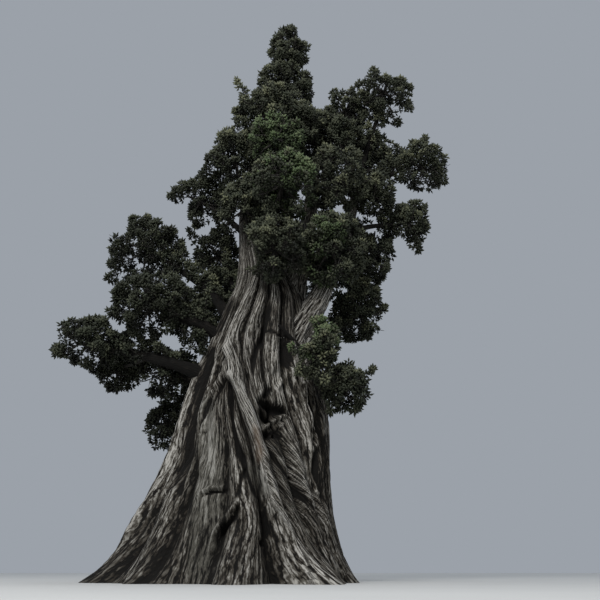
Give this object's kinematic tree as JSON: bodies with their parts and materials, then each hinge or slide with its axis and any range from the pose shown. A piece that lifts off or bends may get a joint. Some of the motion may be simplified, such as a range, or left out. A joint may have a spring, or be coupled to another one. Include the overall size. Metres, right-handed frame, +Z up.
{
  "type": "cypress tree",
  "caption": "Whole old cypress tree: a stout twisted trunk with flared roots, cut flat at ground level, tapering boughs and dense masses of evergreen sprays.",
  "frame": {"origin": "middle of the flat cut under the trunk, at ground level", "axes": "+Z up the trunk, the long side of the tree; the pictured side faces -Y, and +X is to its right"},
  "size_m": [5.7741, 3.4587, 8.8167],
  "materials": {
    "trunk_bark": "weathered fibrous bark in long strips, silvery grey crests and dark brown furrows",
    "bough_bark": "weathered fibrous bark, grey",
    "foliage": "matte dark green scale-leaf sprays",
    "young_foliage": "matte lighter green scale-leaf sprays"
  },
  "bodies": {
    "root": {"trunk": "trunk_bark", "bough_left_long": "bough_bark", "bough_left_low": "bough_bark", "bough_left_mid": "bough_bark", "bough_left_fork": "bough_bark", "bough_left_high": "bough_bark", "bough_left_inner": "bough_bark", "bough_left_hang": "bough_bark", "bough_left_shoulder": "bough_bark", "bough_second_leader": "bough_bark", "bough_right_bough": "bough_bark", "bough_right_up": "bough_bark", "bough_right_out": "bough_bark", "bough_right_low_out": "bough_bark", "bough_right_bulge": "bough_bark", "bough_front_low": "bough_bark", "bough_front_high": "bough_bark", "bough_front_left": "bough_bark", "bough_crown_fore": "bough_bark", "bough_crown_right": "bough_bark", "bough_back_low": "bough_bark", "bough_back_mid": "bough_bark", "bough_back_right": "bough_bark", "bough_back_top": "bough_bark", "foliage_crown_tip": "foliage", "foliage_crown_neck": "foliage", "foliage_crown_upper": "foliage", "foliage_crown_right": "foliage", "foliage_crown_left": "foliage", "foliage_crown_fore": "young_foliage", "foliage_crown_front": "young_foliage", "foliage_crown_centre": "foliage", "foliage_front_left": "foliage", "foliage_front_low": "foliage", "foliage_front_right": "young_foliage", "foliage_left_shoulder": "foliage", "foliage_left_inner": "foliage", "foliage_left_fork": "foliage", "foliage_left_high": "foliage", "foliage_left_mid": "foliage", "foliage_left_tip": "foliage", "foliage_left_under": "foliage", "foliage_left_low": "foliage", "foliage_left_hang": "foliage", "foliage_right_up": "foliage", "foliage_right_up_inner": "foliage", "foliage_right_inner": "foliage", "foliage_right_up_low": "foliage", "foliage_right_shoulder": "foliage", "foliage_right_out": "foliage", "foliage_right_low_out": "foliage", "foliage_right_flank": "foliage", "foliage_right_bulge": "foliage", "foliage_sprout_high": "young_foliage", "foliage_sprout_low": "foliage", "foliage_back_low": "foliage", "foliage_back_right": "foliage", "foliage_back_mid": "foliage", "foliage_back_left": "foliage", "foliage_back_top": "foliage"}
  },
  "joints": []
}
